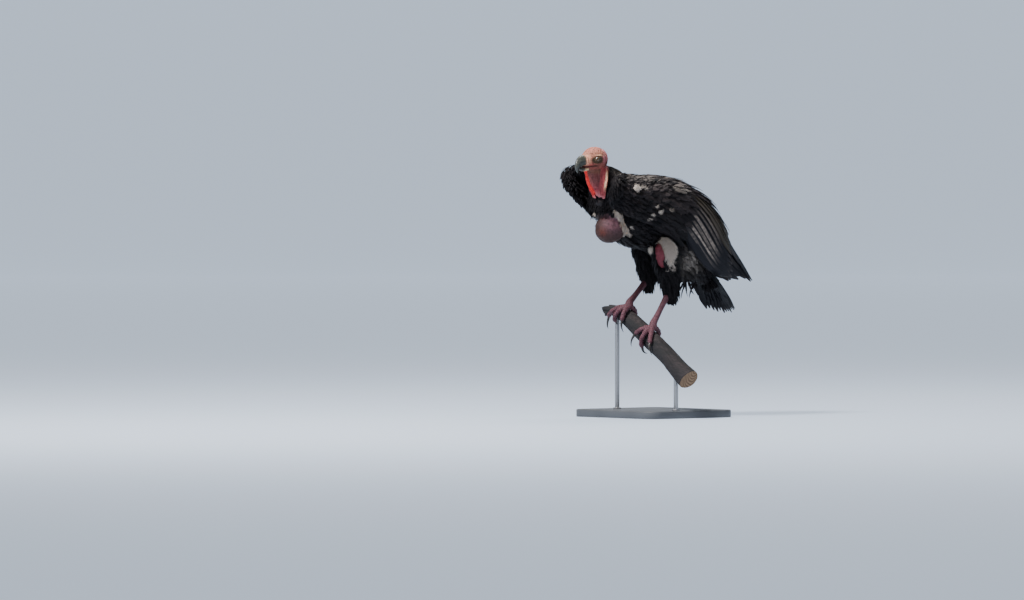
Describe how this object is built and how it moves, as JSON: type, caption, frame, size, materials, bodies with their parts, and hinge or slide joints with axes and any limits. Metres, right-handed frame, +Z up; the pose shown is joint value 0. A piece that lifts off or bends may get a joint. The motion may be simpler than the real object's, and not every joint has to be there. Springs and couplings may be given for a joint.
{
  "type": "red-headed vulture display model",
  "caption": "Still life-size red-headed vulture with folded wings, hunched on a short sloping branch that two rods hold over a flat display base.",
  "frame": {"origin": "on the underside of the stand's base, straight below the top of the branch midway between the feet", "axes": "+Z up, -Y the way the bird's body faces, +X to the bird's left"},
  "size_m": [0.3694, 0.6134, 0.7163],
  "materials": {
    "black_plumage": "black contour and flight feathers with a faint gloss, tan-grey bands on the secondaries and white down on the breast and thigh",
    "red_skin": "bare wrinkled skin, dull pink-red on the crown and bright red on the lappets",
    "crop_skin": "bare greyish mauve skin with short stubble",
    "bill_horn": "dark greenish-grey horn, slightly glossy",
    "claw_horn": "blackish horn, slightly glossy",
    "leg_skin": "dull pinkish scaly skin",
    "eye": "dark brown iris under a clear glossy cornea",
    "dead_wood": "weathered grey-brown dead wood with dark streaks",
    "stand_board": "board with a satin charcoal finish",
    "stand_steel": "round rod with a satin charcoal finish"
  },
  "bodies": {
    "root": {"bill_lower": "bill_horn", "bill_upper": "bill_horn", "claw_left_1": "claw_horn", "claw_left_2": "claw_horn", "claw_left_3": "claw_horn", "claw_left_4": "claw_horn", "claw_right_1": "claw_horn", "claw_right_2": "claw_horn", "claw_right_3": "claw_horn", "claw_right_4": "claw_horn", "crop": "crop_skin", "eye_left": "eye", "eye_right": "eye", "foot_left": "leg_skin", "foot_right": "leg_skin", "head": "red_skin", "lappet_left": "red_skin", "lappet_right": "red_skin", "neck": "red_skin", "perch_branch": "dead_wood", "ruff": "black_plumage", "stand_base": "stand_board", "stand_rod_1": "stand_steel", "stand_rod_2": "stand_steel", "tail": "black_plumage", "tarsus_left": "leg_skin", "tarsus_right": "leg_skin", "thigh_left": "black_plumage", "thigh_right": "black_plumage", "trunk": "black_plumage", "wing_left_coverts": "black_plumage", "wing_left_primaries": "black_plumage", "wing_left_secondaries": "black_plumage", "wing_right_coverts": "black_plumage", "wing_right_primaries": "black_plumage", "wing_right_secondaries": "black_plumage"}
  },
  "joints": []
}
